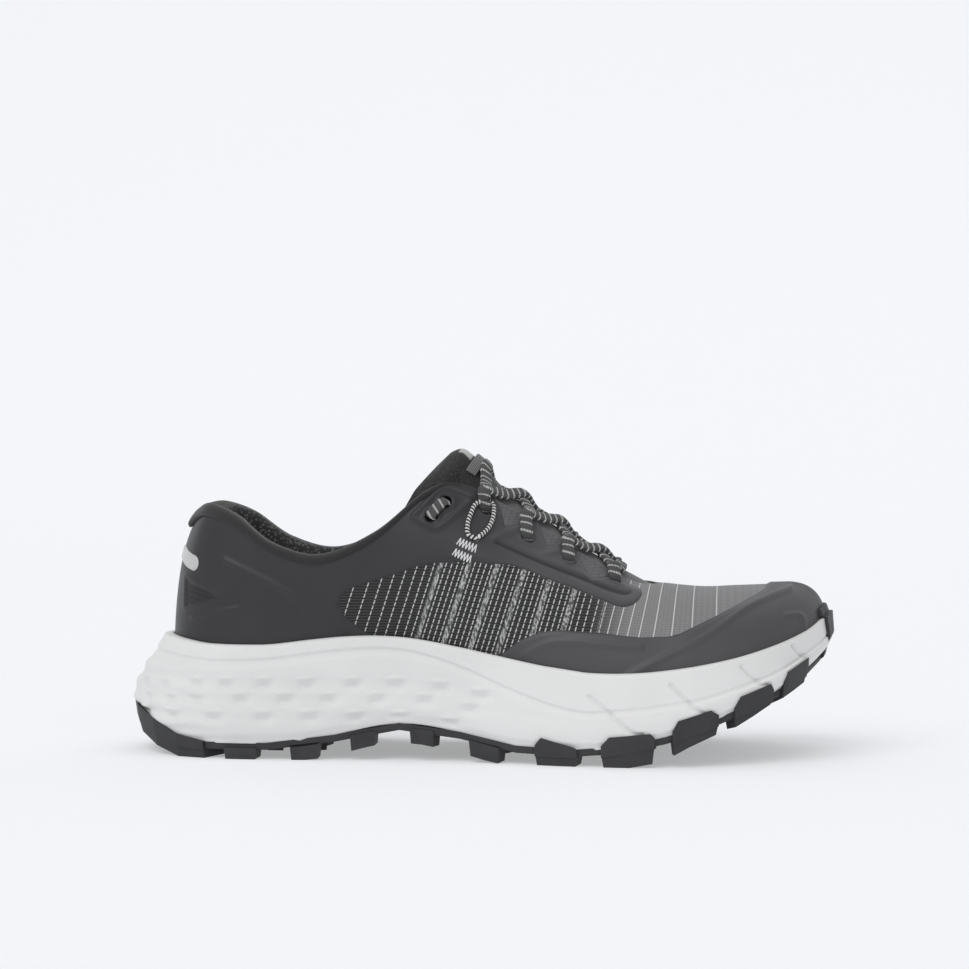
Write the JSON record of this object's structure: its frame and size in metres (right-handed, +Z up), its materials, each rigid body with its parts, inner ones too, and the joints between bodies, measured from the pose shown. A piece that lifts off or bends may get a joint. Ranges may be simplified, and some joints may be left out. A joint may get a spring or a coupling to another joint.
{
  "type": "trail running shoe",
  "caption": "Low-cut right trail running shoe with a thick flared foam midsole, lugged rubber outsole, mesh upper with film overlays, padded collar and tongue, and flat laces.",
  "frame": {"origin": "centre of the shoe's bounding box in plan, on the ground that the tread stands on", "axes": "+X from the heel to the toe, +Y to the inner side of the foot, +Z up"},
  "size_m": [0.3016, 0.1116, 0.1287],
  "materials": {
    "rubber": "matt moulded rubber",
    "foam": "satin skin of moulded foam",
    "sockliner": "knitted cloth",
    "mesh": "woven mesh with light slanted threads",
    "film": "smooth coated film with raised ridges",
    "lining": "soft knitted lining",
    "tongue": "padded woven cloth",
    "lace": "flat woven lace with light dashes",
    "webbing": "woven band",
    "cord": "round cord with light stripes",
    "tab": "light reflective film"
  },
  "bodies": {
    "root": {"outsole": "rubber", "midsole": "foam", "insole": "sockliner", "upper": "mesh", "toe_cap": "film", "heel_counter": "film", "quarter_outer": "film", "quarter_inner": "film", "collar": "lining", "tongue": "tongue", "laces": "lace", "lace_keeper": "webbing", "cord_loop_outer": "cord", "cord_loop_inner": "cord", "heel_tab": "tab"}
  },
  "joints": []
}
